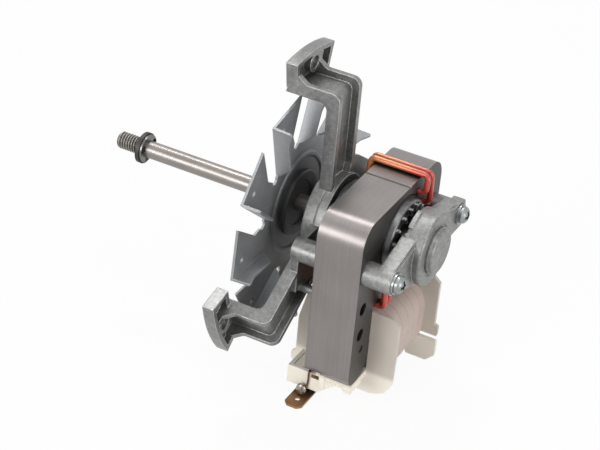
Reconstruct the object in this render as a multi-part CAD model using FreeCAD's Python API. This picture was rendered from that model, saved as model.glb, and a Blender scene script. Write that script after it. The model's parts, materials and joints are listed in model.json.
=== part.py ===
import FreeCAD, Part
import math
import os

V = FreeCAD.Vector

# Shaded-pole oven fan motor, in millimetres.
# The origin is on the shaft axis, in the plane that the three mounting feet bear on.
# +Y runs along the shaft to its threaded end, +Z is up and the coil hangs below the shaft.

# Shaft and what it carries at its ends
shaft_dia = 6.0
shaft_tip = 65.65
thread_len = 9.3
groove_depth = 0.45
clip_thk = 0.8
clip_dia = 10.0
seat_washer_dia = 10.9
seat_washer_thk = 1.4

# Laminated frame
stack_setback = 25.35
stack_len = 16.0
core_half_width = 29.0
bridge_wall = 2.4
leg_drop = 43.0
leg_width = 13.0
shoulder_r = 8.0
toe_outer_r = 4.0
toe_inner_r = 6.5
window_corner_r = 1.5
groove_x = 3.5
groove_width = 1.2
groove_depth_top = 0.9
leg_hole_dia = 4.4
leg_hole_x = 23.8
upper_leg_hole_z = -14.3
lower_leg_hole_z = -24.3
dimple_dia = 2.6
dimple_depth = 0.5
dimple_x = 22.0
dimple_z = -31.0

# Shading rings
ring_wire_dia = 2.0
ring_top_x = (11.0, 13.2)
ring_slot_angle = (52.0, 25.0)
ring_slot_wall = 0.25
ring_slot_clearance = 0.1
ring_standoff = 1.9
ring_rear_bow = 0.8
ring_lift = 0.4
ring_bend_r = 1.6

# Rotor
bore_r = 14.8
air_gap = 0.3
bar_count = 17
bar_dia = 2.0
bar_cover = 0.8
end_ring_width = 4.4
rear_end_ring_thk = 2.2
front_end_ring_thk = 4.7
end_ring_step = 1.3
fin_height = 1.3
fin_thk = 0.9
spacer_wall = 1.6
thrust_washer_thk = 0.5
thrust_washer_dia = 9.6
end_play = 0.1

# Coil core, bobbin and coil
coil_core_top = -31.0
coil_core_drop = 42.4
tongue_height = 3.0
tongue_depth = 1.4
tongue_z = -33.2
bobbin_wall = 1.0
flange_thk = 1.3
flange_gap = 0.2
flange_top = -20.0
flange_bottom = -52.0
flange_overhang = 9.9
flange_hook_top = -39.6
flange_block_rear = -53.0
flange_block_top = -45.6
flange_block_bottom = -54.5
flange_notch = 2.1
coil_reach = 6.0
coil_top = -24.2
coil_bottom = -50.0
coil_corner_r = 9.0
tape_thk = 0.6
tape_ridge = 0.25
tape_bands = 7

# Terminals
tab_width = 6.3
tab_thk = 0.8
tab_reach = 34.0
tab_centre_y = -24.3
tab_z = -53.6
tab_strip_width = 2.4
tab_hole_dia = 1.9
tab_hole_inset = 4.3
carrier_reach = 26.0
carrier_front = -18.1
carrier_rear = -41.3
carrier_top = -43.4
carrier_step = 1.1
carrier_shelf_thk = 2.3
carrier_gusset = 6.2
carrier_floor = -51.2
carrier_wall = 1.4
lead_dia = 0.8
terminal_inset = 1.4
strip_engagement = 4.0
solder_r = 1.1
solder_offset = 1.3

# Screws
screw_x = 24.4
screw_dia = 3.5
screw_clearance = 0.35
screw_head_dia = 6.0
screw_head_height = 2.4
cross_width = 1.0
cross_depth = 1.1
washer_dia = 7.2
washer_thk = 0.8

# Bearings
bush_r = 5.4
bush_half_len = 2.8
bush_running_gap = 0.03
bush_inset = 3.6
socket_gap = 0.02
socket_r = 8.8
socket_depth = 2.0
retainer_seat = 1.1
retainer_thk = 0.4
retainer_slits = 6
felt_gap = 0.2
felt_play = 0.1

# Rear bracket
rear_post_len = 9.85
rear_post_r = 4.1
rear_cup_r = 12.5
rear_cup_front = 5.4
rear_cup_back = 12.5
rear_cup_round = 0.8
rear_boss_r = 8.0
rear_boss_height = 0.85
rear_boss_groove = 1.0
rear_lip_rise = 0.7
rear_lip_depth = 1.5
rear_wall = 1.4
strap_thk = 3.8
strap_rib_thk = 1.9
strap_head = 4.3
strap_heel = 6.0
strap_pad = 4.6

# Front bracket
foot_r = 55.0
foot_ledge = 7.3
foot_tuck = 2.2
foot_thk = 4.0
foot_wall = 1.6
foot_floor = 1.5
foot_lead_angle = 9.6
foot_lag_angle = 17.2
foot_hole_inset = 4.6
foot_hole_angle = -4.0
foot_hole_dia = 4.4
foot_boss_r = 3.4
arm_half_width = 7.75
arm_wall = 1.9
arm_web = 1.8
arm_front = 14.6
arm_rear = 19.0
leg_depth = 4.2
leg_flare = 2.3
leg_round = 3.0
hub_r = 11.5
hub_front = 10.6
hub_front_r = 9.2
hub_shoulder = 4.4
hub_bore_r = 4.0
drum_r = 14.9
drum_wall = 2.2
drum_front = 12.9
drum_plate = 2.6
drum_rear = 20.0
drum_line = 0.4
drum_line_place = 16.7
web_top = (10.3, 18.4)
web_end = (18.7, 12.6)
web_foot = 2.2
front_post_r = 4.0
plate_thk = 2.6
plate_top = 3.6
plate_drop = 14.5
post_floor = 0.8
post_land = 0.9
pin_dia = 3.0
pin_engagement = 3.0

# Cooling fan
fan_vanes = 10
fan_thk = 0.8
fan_rear = 3.6
fan_leg_gap = 1.1
fan_tip_inset = 1.4
fan_tip_angle = 4.2
fan_corner_angle = 29.1
fan_root_r = 23.4
fan_root_angle = 41.6
fan_slot_r = 28.6
fan_slot_angle = 14.2
fan_lobe_angle = 10.6
fan_lobe_r = 1.4
lip_outer = 7.0
lip_inner = 5.4
lip_slant = 4.0
fan_ring_r = 16.7
fan_ring_height = 0.5
pip_inset = 6.3
pip_angle = 23.4
pip_size = 1.5
fan_hub_r = 11.4
fan_hub_rear_thk = 1.45
fan_hub_boss_r = 5.6
fan_hub_boss_front = 2.0
fan_hub_recess_r = 8.6
fan_hub_recess = 0.8

# Places that follow from the sizes above
shaft_r = shaft_dia / 2.0
stack_front = -stack_setback
stack_rear = stack_front - stack_len
stack_mid = stack_front - stack_len / 2.0
core_top = bore_r + bridge_wall
core_bottom = -leg_drop
window_half = core_half_width - leg_width
rotor_r = bore_r - air_gap
screw_r = screw_dia / 2.0
rear_post_end = stack_rear - rear_post_len
rear_cup_face = stack_rear - rear_cup_back
rear_boss_face = rear_cup_face - rear_boss_height
shaft_rear = rear_boss_face + rear_wall + 0.4
rear_bush_y = shaft_rear + bush_half_len
front_bush_y = -hub_front - bush_inset
bush_bore_r = shaft_r + bush_running_gap
seat_washer_rear = shaft_tip - thread_len - seat_washer_thk
seat_clip_rear = seat_washer_rear - clip_thk
flange_inner_x = window_half - flange_gap - flange_thk
flange_outer_x = window_half - flange_gap
lead_z = carrier_floor + 3.4
leg_outer_r = foot_r - foot_ledge
leg_inner_r = leg_outer_r - leg_depth
foot_hole_r = foot_r - foot_hole_inset
post_front = -arm_rear + plate_thk
fan_corner_r = leg_inner_r - fan_leg_gap
fan_tip_r = fan_corner_r - fan_tip_inset
pip_r = fan_corner_r - pip_inset


def rounded_face(corners, place):
    """Flat face whose corners (u, v, radius) are set in space by place(u, v)."""
    joins = []
    for index, (u, v, radius) in enumerate(corners):
        here = place(u, v)
        if radius <= 0.0:
            joins.append((here, None, here))
            continue
        before = corners[index - 1]
        after = corners[(index + 1) % len(corners)]
        back = (place(before[0], before[1]) - here).normalize()
        ahead = (place(after[0], after[1]) - here).normalize()
        half = back.getAngle(ahead) / 2.0
        reach = radius / math.tan(half)
        inward = (back + ahead).normalize()
        crown = here + inward * (radius / math.sin(half) - radius)
        joins.append((here + back * reach, crown, here + ahead * reach))
    edges = []
    for index, (first, crown, last) in enumerate(joins):
        if crown is not None:
            edges.append(Part.Arc(first, crown, last).toShape())
        following = joins[(index + 1) % len(joins)][0]
        if last.distanceToPoint(following) > 1e-6:
            edges.append(Part.LineSegment(last, following).toShape())
    return Part.Face(Part.Wire(edges))


def prism_y(corners, y0, y1):
    """Prism along Y from (x, z, radius) corners."""
    return rounded_face(corners, lambda x, z: V(x, y0, z)).extrude(V(0, y1 - y0, 0))


def prism_x(corners, x0, x1):
    """Prism along X from (y, z, radius) corners."""
    return rounded_face(corners, lambda y, z: V(x0, y, z)).extrude(V(x1 - x0, 0, 0))


def prism_z(corners, z0, z1):
    """Prism along Z from (x, y, radius) corners."""
    return rounded_face(corners, lambda x, y: V(x, y, z0)).extrude(V(0, 0, z1 - z0))


def block(x0, x1, y0, y1, z0, z1):
    """Plain box between two opposite corners."""
    low = V(min(x0, x1), min(y0, y1), min(z0, z1))
    return Part.makeBox(abs(x1 - x0), abs(y1 - y0), abs(z1 - z0), low)


def rod(radius, y0, y1, x=0.0, z=0.0):
    """Cylinder parallel to the shaft."""
    return Part.makeCylinder(radius, abs(y1 - y0), V(x, min(y0, y1), z), V(0, 1, 0))


def tube(outer, inner, y0, y1, x=0.0, z=0.0):
    """Sleeve parallel to the shaft."""
    return rod(outer, y0, y1, x, z).cut(rod(inner, y0, y1, x, z))


def turned(profile):
    """Solid turned about the shaft axis from (radius, y) points."""
    points = [V(radius, y, 0) for radius, y in profile]
    wire = Part.makePolygon(points + points[:1])
    return Part.Face(wire).revolve(V(0, 0, 0), V(0, 1, 0), 360)


def turned_round(corners):
    """Solid turned about the shaft axis from (radius, y, corner radius) corners."""
    return rounded_face(corners, lambda r, y: V(r, y, 0)).revolve(V(0, 0, 0), V(0, 1, 0), 360)


def swing(shape, angle):
    """Copy turned about the shaft by an angle that grows from +X towards +Z."""
    copy = shape.copy()
    copy.rotate(V(0, 0, 0), V(0, 1, 0), -angle)
    return copy


def polar(radius, angle, y=0.0):
    """Point at a radius and angle about the shaft; the angle grows from +X towards +Z."""
    turn = math.radians(angle)
    return V(radius * math.cos(turn), y, radius * math.sin(turn))


def around(shape, count, start=0.0):
    """Copies of a shape spread evenly about the shaft."""
    return [swing(shape, start + 360.0 * index / count) for index in range(count)]


def sector(r0, r1, a0, a1, y0, y1):
    """Block between two radii and two angles about the shaft."""
    middle = (a0 + a1) / 2.0
    edges = [
        Part.Arc(polar(r1, a0, y0), polar(r1, middle, y0), polar(r1, a1, y0)).toShape(),
        Part.LineSegment(polar(r1, a1, y0), polar(r0, a1, y0)).toShape(),
        Part.Arc(polar(r0, a1, y0), polar(r0, middle, y0), polar(r0, a0, y0)).toShape(),
        Part.LineSegment(polar(r0, a0, y0), polar(r1, a0, y0)).toShape(),
    ]
    return Part.Face(Part.Wire(edges)).extrude(V(0, y1 - y0, 0))


def joined(shapes):
    """One solid from shapes that meet."""
    return shapes[0].multiFuse(shapes[1:]).removeSplitter()


def save(shape, name):
    """Write one piece, or one group of like pieces."""
    shape.exportStep("parts/" + name + ".step")


# Laminated frame

def ring_slot_place(angle):
    """Centre of a shading ring's slot, just outside the bore."""
    return polar(bore_r + ring_wire_dia / 2.0 + ring_slot_wall, angle)


def stator_core():
    """Inverted U of laminations with a round bore, two legs and the shading slots."""
    core = prism_y([
        (-core_half_width, core_bottom, toe_outer_r),
        (-core_half_width, core_top, shoulder_r),
        (core_half_width, core_top, shoulder_r),
        (core_half_width, core_bottom, toe_outer_r),
        (window_half, core_bottom, toe_inner_r),
        (window_half, -core_top, window_corner_r),
        (-window_half, -core_top, window_corner_r),
        (-window_half, core_bottom, toe_inner_r),
    ], stack_rear, stack_front)
    cuts = [rod(bore_r, stack_rear, stack_front)]
    slot_r = ring_wire_dia / 2.0 + ring_slot_clearance
    for angle in ring_slot_angle:
        for turn in (angle, angle + 180.0):
            centre = ring_slot_place(turn)
            cuts.append(rod(slot_r, stack_rear, stack_front, centre.x, centre.z))
            mouth = block(bore_r - 0.5, bore_r + 1.0, stack_rear, stack_front, -0.5, 0.5)
            cuts.append(swing(mouth, turn))
    for side in (-1.0, 1.0):
        cuts.append(rod(screw_r + screw_clearance, stack_rear, stack_front, side * screw_x))
        for hole_z in (upper_leg_hole_z, lower_leg_hole_z):
            cuts.append(rod(leg_hole_dia / 2.0, stack_rear, stack_front, side * leg_hole_x, hole_z))
        cuts.append(rod(dimple_dia / 2.0, stack_rear, stack_rear + dimple_depth,
                        side * dimple_x, dimple_z))
        cuts.append(tongue(side))
    cuts.append(prism_y([
        (groove_x - groove_width / 2.0, core_top, 0),
        (groove_x, core_top - groove_depth_top, 0),
        (groove_x + groove_width / 2.0, core_top, 0),
    ], stack_rear, stack_front))
    return core.cut(cuts).removeSplitter()


def tongue(side):
    """Key on the end of the coil core; the same shape is the notch in the leg."""
    root = side * (window_half - 1.0)
    tip = side * (window_half + tongue_depth)
    low = tongue_z - tongue_height / 2.0
    high = tongue_z + tongue_height / 2.0
    return prism_y([(root, low, 0), (root, high, 0), (tip, high, 0.4), (tip, low, 0.4)],
                   stack_rear, stack_front)


def coil_core():
    """Cross piece of laminations that carries the coil, keyed into both legs."""
    bar = block(-window_half, window_half, stack_rear, stack_front, -coil_core_drop, coil_core_top)
    return joined([bar, tongue(-1.0), tongue(1.0)])


# Shading rings

def shading_ring(top_x, slot_angle):
    """Closed copper loop over the top of the pole and back through its slot."""
    wire_r = ring_wire_dia / 2.0
    slot = ring_slot_place(slot_angle)
    high = V(top_x, 0, core_top + wire_r + ring_lift)
    front = stack_front + ring_standoff
    rear = stack_rear - ring_standoff - ring_rear_bow
    ends = [V(high.x, rear, high.z), V(high.x, front, high.z),
            V(slot.x, front, slot.z), V(slot.x, rear, slot.z)]
    down = (ends[2] - ends[1]).normalize()
    along = V(0, 1, 0)
    normal = down.cross(along)
    pieces = []
    for index in range(4):
        start = ends[index]
        stop = ends[(index + 1) % 4]
        run = (stop - start).normalize()
        length = start.distanceToPoint(stop) - 2.0 * ring_bend_r
        pieces.append(Part.makeCylinder(wire_r, length, start + run * ring_bend_r, run))
        back = (ends[index - 1] - start).normalize()
        centre = start + run * ring_bend_r + back * ring_bend_r
        disc = Part.Face(Part.Wire(Part.makeCircle(wire_r, centre - back * ring_bend_r, run)))
        pieces.append(disc.revolve(centre, normal, 90.0))
    return joined(pieces)


def shading_rings():
    """The two loops of the upper right pole."""
    return [shading_ring(x, angle) for x, angle in zip(ring_top_x, ring_slot_angle)]


# Rotor

def bar_circle():
    """Radius on which the rotor bars lie."""
    return rotor_r - bar_cover - bar_dia / 2.0


def rotor_core():
    """Rotor laminations with their bar holes."""
    bars = around(rod(bar_dia / 2.0, stack_rear, stack_front, bar_circle()), bar_count)
    return tube(rotor_r, shaft_r, stack_rear, stack_front).cut(bars)


def rotor_cage():
    """End rings and bars in one casting, with short stirring fins on the rear ring."""
    outer = rotor_r - 0.5
    inner = outer - end_ring_width
    rear = stack_rear - rear_end_ring_thk
    front = stack_front + front_end_ring_thk
    rear_ring = turned([(inner, stack_rear), (outer, stack_rear), (outer - 0.4, rear + 0.4),
                        (outer - 0.8, rear), (inner + 0.4, rear), (inner, rear + 0.4)])
    front_ring = turned([(inner, stack_front), (outer, stack_front),
                         (outer - 0.3, front - end_ring_step),
                         (outer - end_ring_step, front - end_ring_step),
                         (outer - end_ring_step, front), (inner + 0.3, front)])
    half = fin_thk / 2.0
    fin = block(inner + 0.5, outer - 1.4, rear - fin_height, rear + 0.3, -half, half)
    bars = around(rod(bar_dia / 2.0, stack_rear - 0.2, stack_front + 0.2, bar_circle()), bar_count)
    fins = around(fin, bar_count, 180.0 / bar_count)
    return joined([rear_ring, front_ring] + bars + fins)


def shaft():
    """Ground shaft with a clip groove behind the seat, one ahead of the fan and a plain thread land."""
    body = turned([
        (0, shaft_rear), (shaft_r - 0.5, shaft_rear), (shaft_r, shaft_rear + 0.5),
        (shaft_r, shaft_tip - 0.8), (shaft_r - 0.8, shaft_tip), (0, shaft_tip),
    ])
    seats = [seat_clip_rear, fan_hub_boss_front]
    cuts = [tube(shaft_r + 1.0, shaft_r - groove_depth, y, y + clip_thk) for y in seats]
    relief = shaft_tip - thread_len
    cuts.append(tube(shaft_r + 1.0, shaft_r - 0.3, relief, relief + 0.6))
    return body.cut(cuts)


def spacer(y0, y1):
    """Sleeve that keeps the rotor off a bush."""
    return tube(shaft_r + spacer_wall, shaft_r, y0, y1)


def retaining_clip(y0):
    """Open sprung clip seated in a shaft groove."""
    disc = tube(clip_dia / 2.0, shaft_r - groove_depth, y0, y0 + clip_thk)
    mouth = block(-1.9, 1.9, y0, y0 + clip_thk, -clip_dia, 0)
    pockets = [rod(1.2, y0, y0 + clip_thk, side * (shaft_r + 0.4), 1.2) for side in (-1.0, 1.0)]
    return disc.cut([mouth] + pockets)


# Bearings; side is +1 where the rotor lies towards +Y of the bush and -1 where it lies behind it

def bush(centre):
    """Sintered bush with a ball-shaped outside."""
    ball = Part.makeSphere(bush_r, V(0, centre, 0))
    waist = rod(bush_r + 1.0, centre - bush_half_len, centre + bush_half_len)
    bore = rod(bush_bore_r, centre - bush_r, centre + bush_r)
    return ball.common(waist).cut(bore)


def socket(centre, side, mouth):
    """Hollow of a bracket: ball seat, felt chamber and an open mouth towards the rotor."""
    floor = centre - side * socket_depth
    chamber = rod(socket_r, floor, mouth)
    seat = Part.makeSphere(bush_r + socket_gap, V(0, centre, 0))
    limit = rod(bush_r + 1.0, centre - side * (bush_half_len + 0.3), mouth)
    return [chamber, seat.common(limit)]


def retainer(centre, side):
    """Flat star washer, sprung against the ball."""
    near = centre + side * retainer_seat
    far = near + side * retainer_thk
    inner = math.sqrt(bush_r ** 2 - retainer_seat ** 2) + socket_gap
    ring = tube(socket_r, inner, near, far)
    slit = block(inner - 0.5, socket_r - 1.2, near, far, -0.5, 0.5)
    return ring.cut(around(slit, retainer_slits))


def oil_felt(centre, side):
    """Felt ring round the bush, between the chamber floor and the star washer."""
    back = centre - side * (socket_depth - felt_play)
    return tube(socket_r - felt_gap, bush_r + felt_gap, back, centre + side * (retainer_seat - felt_gap))


# Rear bracket

def rear_bracket():
    """Die-cast bearing cup between two posts, with a ribbed strap to each."""
    front = stack_rear - rear_cup_front
    face = rear_cup_face
    boss = rear_boss_face
    groove_outer = rear_boss_r + rear_boss_groove
    groove_floor = face + rear_boss_height / 2.0
    cup = turned_round([
        (0, boss, 0), (rear_boss_r, boss, 0.4), (rear_boss_r, groove_floor, 0),
        (groove_outer, groove_floor, 0), (groove_outer, face, 0),
        (rear_cup_r, face, rear_cup_round), (rear_cup_r, front, 0.4), (0, front, 0),
    ])
    strap_rear = rear_post_end
    strap_front = strap_rear + strap_thk
    flank = rear_cup_r * 0.7
    post_top = rear_post_r - 0.8
    outline = [
        (-screw_x, post_top, 0), (-flank, rear_cup_r / 2.0, 0), (0, flank, 0), (flank, flank, 0),
        (screw_x - strap_pad, strap_head, 2.0), (screw_x + strap_pad, strap_head, 2.5),
        (screw_x + strap_pad, -strap_heel, 2.0), (screw_x - strap_pad, -strap_heel, 2.0),
        (flank, -flank, 0), (0, -flank, 0), (-0.56 * rear_cup_r, -0.82 * rear_cup_r, 0),
        (-screw_x, -rear_post_r, 0),
    ]
    lip = sector(socket_r + rear_lip_rise, rear_cup_r + rear_lip_rise, 95.0, 128.0,
                 front - rear_lip_depth, front)
    body = [cup, lip, prism_y(outline, strap_rear, strap_front)]
    for side, head in ((-1.0, rear_post_r), (1.0, strap_head)):
        body.append(rod(rear_post_r, strap_rear, stack_rear, side * screw_x))
        rib = prism_y([
            (side * screw_x, head, 0), (side * flank, flank - 0.8, 0),
            (side * flank, flank - 0.8 - strap_rib_thk, 0), (side * screw_x, head - strap_rib_thk, 0),
        ], strap_rear + 0.6, strap_front + 1.6)
        body.append(rib)
    nub = Part.makeSphere(1.1, V(-flank - 0.4, strap_front + 0.4, flank - 1.2))
    body.append(nub)
    solid = joined(body)
    cuts = socket(rear_bush_y, 1.0, front)
    cuts.append(turned([(0, front - 1.6), (socket_r, front - 1.6), (socket_r + 1.6, front), (0, front)]))
    for side in (-1.0, 1.0):
        cuts.append(rod(screw_r + screw_clearance, strap_rear, stack_rear, side * screw_x))
    return solid.cut(cuts).removeSplitter()


# Front bracket; each leg is drawn for the arm that points along +X and then swung into place

def bracket_leg():
    """Channel arm, its leg and its foot."""
    front = -arm_front
    rear = -arm_rear
    half = arm_half_width
    flare_r = leg_outer_r + leg_flare
    side_wall = [
        (hub_r - 2.0, rear, 0), (leg_outer_r, rear, leg_round),
        (leg_outer_r, -foot_thk - 3.0, 2.0), (flare_r, -foot_thk, 0), (flare_r, -foot_floor, 0),
        (leg_inner_r, 0, 0), (leg_inner_r, front, 2.5), (hub_r - 2.0, front, 0),
    ]
    whole = prism_z([(r, y, radius) for r, y, radius in side_wall], -half, half)
    hollow_half = half - arm_wall
    hollow = prism_z([
        (hub_r + 1.5, rear - 1.0, 0), (leg_outer_r + 4.0, rear - 1.0, 0),
        (leg_outer_r + 4.0, -foot_floor, 0),
        (leg_inner_r + arm_web, -foot_floor, 0), (leg_inner_r + arm_web, front - arm_web, 2.0),
        (hub_r + 1.5, front - arm_web, 0),
    ], -hollow_half, hollow_half)
    foot_inner = leg_inner_r + foot_tuck
    foot = sector(foot_inner, foot_r, -foot_lag_angle, foot_lead_angle, -foot_thk, 0)
    trim = math.degrees(foot_wall / foot_r)
    pocket = sector(foot_inner + foot_wall, foot_r - foot_wall, -foot_lag_angle + trim,
                    foot_lead_angle - trim, -foot_thk, -foot_floor)
    rib = block(foot_inner + 0.5, foot_r - 0.5, -foot_thk, -foot_floor, -foot_wall / 2.0, foot_wall / 2.0)
    rib = swing(rib, -math.degrees(math.asin((half - arm_wall / 2.0) / foot_hole_r)))
    hole_at = polar(foot_hole_r, foot_hole_angle)
    boss = rod(foot_boss_r, -foot_thk, 0, hole_at.x, hole_at.z)
    pad = rod(foot_hole_dia / 2.0, -foot_thk - 1.0, 1.0, hole_at.x, hole_at.z)
    channel = whole.cut(hollow)
    shell = foot.cut(pocket.cut(boss).cut(rib)).cut(hollow.cut(boss))
    return channel.fuse(shell).cut(pad).removeSplitter()


def front_bracket():
    """Die-cast bracket: bearing boss in a drum, web plate, screw posts, locating pins and three legs."""
    front = -arm_front
    rear = -arm_rear
    shoulder = -hub_front - hub_shoulder
    hub = turned([
        (0, rear), (hub_r, rear), (hub_r - 1.0, shoulder), (hub_front_r, -hub_front), (0, -hub_front),
    ])
    edge = screw_x + front_post_r - post_land
    low = -plate_drop
    bay = hub_r + 0.5
    outline = [
        (-edge, plate_top, 3.0), (edge, plate_top, 3.0), (edge, low, 0), (bay, low, 3.0),
        (bay / 3.0, low + 2.0, 0), (-bay / 3.0, low + 2.0, 0), (-bay, low, 3.0), (-edge, low, 0),
    ]
    plate = prism_y(outline, rear, post_front)
    web = prism_y([
        (0, 0, 0), (arm_half_width - 1.0, web_top[1] + 1.5, 0), (web_top[0], web_top[1], 1.0),
        (web_end[0], web_end[1], 1.5), (web_end[0] + web_foot, 0, 0),
    ], rear, post_front)
    bodies = [drum(), hub, plate, web]
    bodies += around(bracket_leg(), 3, 90.0)
    for side in (-1.0, 1.0):
        bodies.append(rod(front_post_r, post_front, stack_front, side * screw_x))
    solid = joined(bodies)
    cuts = socket(front_bush_y, -1.0, rear)
    cuts.append(rod(hub_bore_r, -hub_front, front_bush_y))
    for side in (-1.0, 1.0):
        cuts.append(rod(screw_r, post_front - post_floor, stack_front, side * screw_x))
    solid = solid.cut(cuts)
    pins = [rod(pin_dia / 2.0, front - arm_web, stack_front - pin_engagement,
                side * leg_hole_x, upper_leg_hole_z) for side in (-1.0, 1.0)]
    return joined([solid] + pins)


def drum():
    """Shallow drum round the bearing boss, with a line scored round it and its rim close to the rotor."""
    inner = drum_r - drum_wall
    bell = tube(drum_r, inner, -drum_rear, -drum_front)
    plate = rod(drum_r - drum_wall / 2.0, -drum_front - drum_plate, -drum_front)
    line = tube(drum_r + 1.0, drum_r - drum_line / 2.0, -drum_line_place - drum_line, -drum_line_place)
    return joined([bell, plate]).cut(line)


# Cooling fan

def fan_vane():
    """One petal of the fan with its pip and the lip folded back along its trailing edge."""
    rear = -fan_rear
    front = rear + fan_thk
    tip = polar(fan_tip_r, fan_tip_angle)
    corner = polar(fan_corner_r, fan_corner_angle)
    root = polar(fan_root_r, fan_root_angle)
    slot = polar(fan_slot_r, fan_slot_angle)
    heel = polar(fan_root_r - 1.5, fan_lobe_angle)
    toe = polar(fan_root_r - 3.0, fan_root_angle)
    petal = prism_y([(p.x, p.z, 0) for p in (tip, slot, heel, toe, root, corner)], rear, front)
    run = root - corner
    length = run.Length
    run = run.normalize()
    across = V(0, 1, 0).cross(run)
    if across.dot(tip - corner) < 0:
        across = across * -1.0
    lip_points = [(0, front, 0), (length, front, 0), (length, rear - 0.4, 0),
                  (length - lip_slant, front - lip_inner, 0.8), (6.0, front - lip_inner, 0),
                  (0.6, front - lip_outer, 0.8)]
    lip = rounded_face(lip_points, lambda s, y: corner + run * s + V(0, y, 0)).extrude(across * fan_thk)
    vane = petal.fuse(lip)
    pip_at = polar(pip_r, pip_angle)
    ball = Part.makeSphere(pip_size, V(pip_at.x, rear + pip_size * 0.6, pip_at.z))
    dent = Part.makeSphere(pip_size * 0.8, V(pip_at.x, front + pip_size * 0.25, pip_at.z))
    behind = block(0, fan_corner_r, rear - 2.0 * pip_size, front, -fan_corner_r, fan_corner_r)
    vane = vane.fuse(ball.common(behind))
    return vane.cut(dent)


def cooling_fan():
    """Stamped sheet fan: disc with a raised ring, ten petals and ten folded lips."""
    rear = -fan_rear
    front = rear + fan_thk
    ring = fan_ring_r
    rise = fan_ring_height
    disc = turned([
        (fan_hub_boss_r, rear), (ring - 1.2, rear), (ring - 0.5, rear - rise),
        (ring + 0.5, rear - rise), (ring + 1.2, rear), (fan_root_r, rear),
        (fan_root_r, front), (ring + 1.0, front), (ring + 0.4, front - rise),
        (ring - 0.4, front - rise), (ring - 1.0, front), (fan_hub_boss_r, front),
    ])
    fan = joined([disc] + around(fan_vane(), fan_vanes, 90.0))
    lobe_at = polar(fan_root_r + 0.6, fan_lobe_angle)
    lobe = rod(fan_lobe_r, rear - 1.0, front + 1.0, lobe_at.x, lobe_at.z)
    return fan.cut(around(lobe, fan_vanes, 90.0)).removeSplitter()


def fan_hub():
    """Moulded hub: flange behind the fan and a boss through it."""
    rear = -fan_rear - fan_hub_rear_thk
    return turned([
        (shaft_r, rear + fan_hub_recess), (fan_hub_recess_r - 0.6, rear + fan_hub_recess),
        (fan_hub_recess_r, rear), (fan_hub_r - 0.4, rear), (fan_hub_r, rear + 0.4),
        (fan_hub_r, -fan_rear), (fan_hub_boss_r, -fan_rear), (fan_hub_boss_r, fan_hub_boss_front - 0.4),
        (fan_hub_boss_r - 0.4, fan_hub_boss_front), (shaft_r, fan_hub_boss_front),
    ])


# Coil

def coil_outline(grow):
    """Corners of the coil's section across the shaft, grown by a distance."""
    y0 = stack_rear - coil_reach - grow
    y1 = stack_front + coil_reach + grow
    z0 = coil_bottom - grow
    z1 = coil_top + grow
    radius = coil_corner_r + grow
    return [(y0, z0, radius), (y0, z1, radius), (y1, z1, radius), (y1, z0, radius)]


def bobbin_section(grow):
    """Corners of the bobbin's tube round the coil core, grown by a distance."""
    return [(stack_rear - grow, -coil_core_drop - grow, 0), (stack_rear - grow, coil_core_top + grow, 0),
            (stack_front + grow, coil_core_top + grow, 0), (stack_front + grow, -coil_core_drop - grow, 0)]


def coil_winding():
    """Copper winding between the bobbin's tube and the tape."""
    outer = prism_x(coil_outline(-tape_thk - tape_ridge), -flange_inner_x, flange_inner_x)
    return outer.cut(prism_x(bobbin_section(bobbin_wall), -flange_inner_x, flange_inner_x))


def coil_tape():
    """Tape wound over the coil in overlapping turns."""
    pitch = 2.0 * flange_inner_x / tape_bands
    bands = []
    for index in range(tape_bands):
        x0 = -flange_inner_x + pitch * index
        lift = -tape_ridge if index % 2 else 0.0
        bands.append(prism_x(coil_outline(lift), x0, x0 + pitch))
    hollow = prism_x(coil_outline(-tape_thk - tape_ridge), -flange_inner_x, flange_inner_x)
    return joined(bands).cut(hollow)


def left_flange():
    """Flange on the lead side: rounded head, straight rear edge and chamfered foot."""
    rear = stack_rear - flange_overhang
    front = stack_front + flange_overhang
    return prism_x([
        (rear, flange_top - 2.4, 0), (rear + 2.9, flange_top, 4.0), (front - 2.9, flange_top, 4.0),
        (front, flange_top - 12.0, 9.0), (front, flange_bottom + 6.2, 1.0),
        (front + 1.6, flange_bottom + 5.0, 0.5), (front + 1.6, flange_bottom + 2.4, 0.5),
        (front - 1.6, flange_bottom, 1.0), (rear + 7.6, flange_bottom, 1.0),
        (rear + 2.6, flange_bottom + 2.0, 1.0), (rear + 0.3, flange_bottom + 6.2, 1.0),
        (rear, flange_top - 14.0, 4.0),
    ], -flange_outer_x, -flange_inner_x)


def right_flange():
    """Flange on the far side: open notch with a hooked lip above a block that clears the leg's foot."""
    rear = stack_rear - flange_overhang - 0.4
    front = stack_front + flange_overhang
    return prism_x([
        (rear, flange_top - 2.4, 0), (rear + 2.9, flange_top, 4.0), (front - 2.9, flange_top, 4.0),
        (front, flange_top - 12.0, 9.0), (front, flange_bottom + 2.0, 1.0),
        (front - 1.6, flange_bottom, 1.0), (stack_rear - 1.0, flange_bottom, 0),
        (stack_rear - 1.0, flange_block_bottom, 0.8), (flange_block_rear + 3.0, flange_block_bottom, 0.5),
        (flange_block_rear, flange_block_bottom + 3.0, 0.5), (flange_block_rear, flange_block_top, 0.5),
        (stack_rear - 2.0, flange_block_top, 0.5), (stack_rear - 2.0, flange_block_top + flange_notch, 0.5),
        (flange_block_rear, flange_block_top + flange_notch, 0.5),
        (flange_block_rear, flange_hook_top, 0.5), (rear, flange_hook_top + 0.5, 0),
    ], flange_inner_x, flange_outer_x)


def bobbin():
    """Moulded former: tube, two flanges and a terminal carrier under each leg."""
    tube_out = prism_x(bobbin_section(bobbin_wall), -flange_outer_x, flange_outer_x)
    parts = [tube_out, left_flange(), right_flange(), carrier(-1.0), carrier(1.0)]
    window = prism_x(bobbin_section(0.0), -flange_outer_x - 1.0, flange_outer_x + 1.0)
    return joined(parts).cut(window)


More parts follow.
